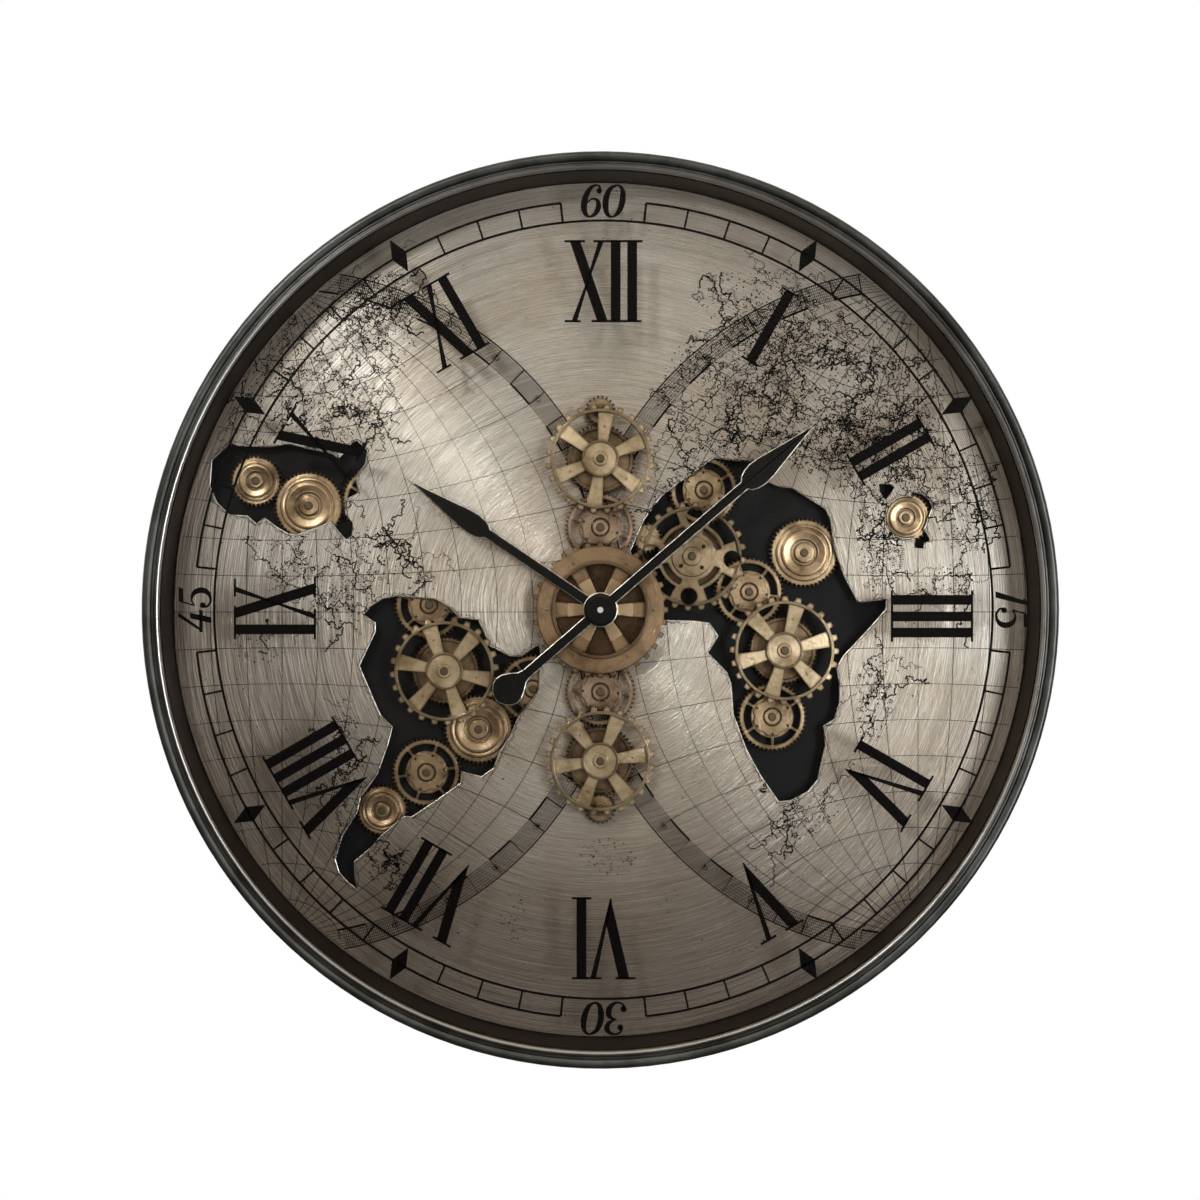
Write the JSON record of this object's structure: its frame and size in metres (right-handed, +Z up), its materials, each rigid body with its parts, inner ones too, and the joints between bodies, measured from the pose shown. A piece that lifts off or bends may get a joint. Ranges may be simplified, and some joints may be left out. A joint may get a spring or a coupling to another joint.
{
  "type": "gear wall clock",
  "caption": "Round glazed wall clock with a pierced metal map dial, Roman numerals, leaf hands and turning brass gears.",
  "frame": {"origin": "middle of the keyhole in the hanger plate, at the plate's middle, 3 mm in front of the wall", "axes": "+Z up, +Y into the wall, so the dial looks along -Y, +X to the right of someone who looks at the dial"},
  "size_m": [0.7999, 0.08, 0.8],
  "materials": {
    "case_metal": "dark brushed lacquer",
    "bezel_metal": "gunmetal, brushed along the rim",
    "clear_glass": "clear, polished",
    "liner_metal": "warm brown, satin",
    "dial_metal": "champagne, brushed in circles, printed map",
    "black_plate": "matt black",
    "post_metal": "matt black",
    "steel_fixings": "zinc plated",
    "movement_plastic": "fine grain",
    "cell_jacket": "plain satin sleeve",
    "stem_brass": "turned",
    "hand_black": "black enamel",
    "switch_plastic": "plain",
    "axle_brass": "turned",
    "gear_brass": "antique, brushed",
    "wheel_brass": "antique, brushed"
  },
  "bodies": {
    "clock_case": {"case_drum": "case_metal", "bezel_ring": "bezel_metal", "glass_pane": "clear_glass", "spacer_ring": "liner_metal", "dial_plate": "dial_metal", "backing_plate": "black_plate", "dial_posts": "post_metal", "dial_screws": "steel_fixings", "plate_screws": "steel_fixings", "hanger_plate": "steel_fixings", "movement_case": "movement_plastic", "movement_battery": "cell_jacket", "movement_nut": "stem_brass", "centre_bush": "stem_brass", "motor_case": "movement_plastic", "motor_batteries": "cell_jacket", "gear_axles": "axle_brass", "axle_caps": "axle_brass"},
    "minute": {"minute_hand": "hand_black", "minute_arbor": "stem_brass", "hand_cap": "hand_black"},
    "hour": {"hour_hand": "hand_black", "hour_pipe": "stem_brass"},
    "knob": {"set_knob": "movement_plastic"},
    "switch": {"motor_switch": "switch_plastic"},
    "centre_gear": {"centre_wheel": "wheel_brass", "centre_gear": "gear_brass"},
    "upper_gear": {"upper_link": "gear_brass", "upper_star": "gear_brass"},
    "top_gear": {"top_gear": "gear_brass", "top_wheel": "wheel_brass"},
    "top_pinion_gear": {"top_pinion": "gear_brass"},
    "lower_gear": {"lower_link": "gear_brass", "lower_star": "gear_brass"},
    "bottom_gear": {"bottom_gear": "gear_brass", "bottom_wheel": "wheel_brass"},
    "bottom_pinion_gear": {"bottom_pinion": "gear_brass"},
    "motor_gear": {"motor_pinion": "axle_brass"},
    "africa_open_gear": {"africa_open_gear": "gear_brass", "africa_open_wheel": "wheel_brass"},
    "africa_top_gear": {"africa_top_star": "gear_brass"},
    "africa_middle_gear": {"africa_middle_star": "gear_brass"},
    "africa_cup_gear": {"africa_cup": "gear_brass"},
    "africa_spoked_gear": {"africa_spoked_gear": "gear_brass", "africa_spoked_wheel": "wheel_brass"},
    "africa_lower_gear": {"africa_lower_star": "gear_brass"},
    "asia_idler_gear": {"asia_idler": "gear_brass"},
    "asia_cup_gear": {"asia_cup": "gear_brass"},
    "south_right_gear": {"south_right_star": "gear_brass"},
    "south_cup_gear": {"south_cup": "gear_brass"},
    "south_spoked_gear": {"south_spoked_gear": "gear_brass", "south_spoked_wheel": "wheel_brass"},
    "south_top_gear": {"south_top_star": "gear_brass"},
    "south_lower_gear": {"south_lower_star": "gear_brass"},
    "south_small_gear": {"south_small_cup": "gear_brass"},
    "north_idler_gear": {"north_idler": "gear_brass"},
    "north_star_gear": {"north_star": "gear_brass"},
    "north_large_gear": {"north_large_cup": "gear_brass"},
    "north_small_gear": {"north_small_cup": "gear_brass"}
  },
  "joints": [
    {"name": "minute_spin", "type": "hinge", "parent": "clock_case", "child": "minute", "pos_m": [0, -0.057, -0.3], "axis": [0, -1, 0], "continuous": true},
    {"name": "hour_spin", "type": "hinge", "parent": "clock_case", "child": "hour", "pos_m": [0, -0.054, -0.3], "axis": [0, -1, 0], "continuous": true},
    {"name": "knob_spin", "type": "hinge", "parent": "clock_case", "child": "knob", "pos_m": [0, -0.001, -0.287], "axis": [0, -1, 0], "continuous": true},
    {"name": "switch_slide", "type": "slide", "parent": "clock_case", "child": "switch", "axis": [1, 0, 0], "range_m": [0, 0.004]},
    {"name": "centre_spin", "type": "hinge", "parent": "clock_case", "child": "centre_gear", "pos_m": [0, -0.026, -0.3], "axis": [0, -1, 0], "continuous": true},
    {"name": "upper_spin", "type": "hinge", "parent": "clock_case", "child": "upper_gear", "pos_m": [0, -0.026, -0.22633], "axis": [0, -1, 0], "continuous": true},
    {"name": "top_spin", "type": "hinge", "parent": "clock_case", "child": "top_gear", "pos_m": [0, -0.026, -0.16536], "axis": [0, -1, 0], "continuous": true},
    {"name": "top_pinion_spin", "type": "hinge", "parent": "clock_case", "child": "top_pinion_gear", "pos_m": [0, -0.037, -0.12218], "axis": [0, -1, 0], "continuous": true},
    {"name": "lower_spin", "type": "hinge", "parent": "clock_case", "child": "lower_gear", "pos_m": [0, -0.026, -0.37367], "axis": [0, -1, 0], "continuous": true},
    {"name": "bottom_spin", "type": "hinge", "parent": "clock_case", "child": "bottom_gear", "pos_m": [0, -0.026, -0.43464], "axis": [0, -1, 0], "continuous": true},
    {"name": "bottom_pinion_spin", "type": "hinge", "parent": "clock_case", "child": "bottom_pinion_gear", "pos_m": [0, -0.026, -0.47782], "axis": [0, -1, 0], "continuous": true},
    {"name": "motor_spin", "type": "hinge", "parent": "clock_case", "child": "motor_gear", "pos_m": [0.04224, -0.026, -0.23531], "axis": [0, -1, 0], "continuous": true},
    {"name": "africa_open_spin", "type": "hinge", "parent": "clock_case", "child": "africa_open_gear", "pos_m": [0.08199, -0.026, -0.25218], "axis": [0, -1, 0], "continuous": true},
    {"name": "africa_top_spin", "type": "hinge", "parent": "clock_case", "child": "africa_top_gear", "pos_m": [0.09331, -0.026, -0.19228], "axis": [0, -1, 0], "continuous": true},
    {"name": "africa_middle_spin", "type": "hinge", "parent": "clock_case", "child": "africa_middle_gear", "pos_m": [0.13403, -0.026, -0.28395], "axis": [0, -1, 0], "continuous": true},
    {"name": "africa_cup_spin", "type": "hinge", "parent": "clock_case", "child": "africa_cup_gear", "pos_m": [0.18379, -0.026, -0.24872], "axis": [0, -1, 0], "continuous": true},
    {"name": "africa_spoked_spin", "type": "hinge", "parent": "clock_case", "child": "africa_spoked_gear", "pos_m": [0.16489, -0.026, -0.33653], "axis": [0, -1, 0], "continuous": true},
    {"name": "africa_lower_spin", "type": "hinge", "parent": "clock_case", "child": "africa_lower_gear", "pos_m": [0.15493, -0.026, -0.39668], "axis": [0, -1, 0], "continuous": true},
    {"name": "asia_idler_spin", "type": "hinge", "parent": "clock_case", "child": "asia_idler_gear", "pos_m": [0.23471, -0.026, -0.23507], "axis": [0, -1, 0], "continuous": true},
    {"name": "asia_cup_spin", "type": "hinge", "parent": "clock_case", "child": "asia_cup_gear", "pos_m": [0.27532, -0.026, -0.21699], "axis": [0, -1, 0], "continuous": true},
    {"name": "south_right_spin", "type": "hinge", "parent": "clock_case", "child": "south_right_gear", "pos_m": [-0.06093, -0.026, -0.37154], "axis": [0, -1, 0], "continuous": true},
    {"name": "south_cup_spin", "type": "hinge", "parent": "clock_case", "child": "south_cup_gear", "pos_m": [-0.10981, -0.026, -0.40798], "axis": [0, -1, 0], "continuous": true},
    {"name": "south_spoked_spin", "type": "hinge", "parent": "clock_case", "child": "south_spoked_gear", "pos_m": [-0.13974, -0.026, -0.35486], "axis": [0, -1, 0], "continuous": true},
    {"name": "south_top_spin", "type": "hinge", "parent": "clock_case", "child": "south_top_gear", "pos_m": [-0.15449, -0.026, -0.2957], "axis": [0, -1, 0], "continuous": true},
    {"name": "south_lower_spin", "type": "hinge", "parent": "clock_case", "child": "south_lower_gear", "pos_m": [-0.15679, -0.026, -0.44684], "axis": [0, -1, 0], "continuous": true},
    {"name": "south_small_spin", "type": "hinge", "parent": "clock_case", "child": "south_small_gear", "pos_m": [-0.19687, -0.026, -0.48107], "axis": [0, -1, 0], "continuous": true},
    {"name": "north_idler_spin", "type": "hinge", "parent": "clock_case", "child": "north_idler_gear", "pos_m": [-0.17834, -0.026, -0.2487], "axis": [0, -1, 0], "continuous": true},
    {"name": "north_star_spin", "type": "hinge", "parent": "clock_case", "child": "north_star_gear", "pos_m": [-0.20219, -0.026, -0.20169], "axis": [0, -1, 0], "continuous": true},
    {"name": "north_large_spin", "type": "hinge", "parent": "clock_case", "child": "north_large_gear", "pos_m": [-0.26298, -0.026, -0.20636], "axis": [0, -1, 0], "continuous": true},
    {"name": "north_small_spin", "type": "hinge", "parent": "clock_case", "child": "north_small_gear", "pos_m": [-0.31067, -0.026, -0.18392], "axis": [0, -1, 0], "continuous": true}
  ],
  "couplings": [
    {"joint": "hour_spin", "follows": "minute_spin", "ratio": 0.083333},
    {"joint": "knob_spin", "follows": "minute_spin", "ratio": -3},
    {"joint": "upper_spin", "follows": "centre_spin", "ratio": -1.4167},
    {"joint": "top_spin", "follows": "centre_spin", "ratio": 1.4167},
    {"joint": "top_pinion_spin", "follows": "centre_spin", "ratio": -3.4},
    {"joint": "lower_spin", "follows": "centre_spin", "ratio": -1.4167},
    {"joint": "bottom_spin", "follows": "centre_spin", "ratio": 1.4167},
    {"joint": "bottom_pinion_spin", "follows": "centre_spin", "ratio": -3.4},
    {"joint": "motor_spin", "follows": "centre_spin", "ratio": 3.4},
    {"joint": "africa_open_spin", "follows": "centre_spin", "ratio": -1.4167},
    {"joint": "africa_top_spin", "follows": "centre_spin", "ratio": 1.4167},
    {"joint": "africa_middle_spin", "follows": "centre_spin", "ratio": 1.4167},
    {"joint": "africa_cup_spin", "follows": "centre_spin", "ratio": -1.4167},
    {"joint": "africa_spoked_spin", "follows": "centre_spin", "ratio": -1.4167},
    {"joint": "africa_lower_spin", "follows": "centre_spin", "ratio": 1.4167},
    {"joint": "asia_idler_spin", "follows": "centre_spin", "ratio": 1.9429},
    {"joint": "asia_cup_spin", "follows": "centre_spin", "ratio": -1.9429},
    {"joint": "south_right_spin", "follows": "centre_spin", "ratio": 1.4167},
    {"joint": "south_cup_spin", "follows": "centre_spin", "ratio": -1.4167},
    {"joint": "south_spoked_spin", "follows": "centre_spin", "ratio": 1.4167},
    {"joint": "south_top_spin", "follows": "centre_spin", "ratio": -1.4167},
    {"joint": "south_lower_spin", "follows": "centre_spin", "ratio": 1.4167},
    {"joint": "south_small_spin", "follows": "centre_spin", "ratio": -1.9429},
    {"joint": "north_idler_spin", "follows": "centre_spin", "ratio": 1.9429},
    {"joint": "north_star_spin", "follows": "centre_spin", "ratio": -1.4167},
    {"joint": "north_large_spin", "follows": "centre_spin", "ratio": 1.4167},
    {"joint": "north_small_spin", "follows": "centre_spin", "ratio": -1.9429}
  ]
}
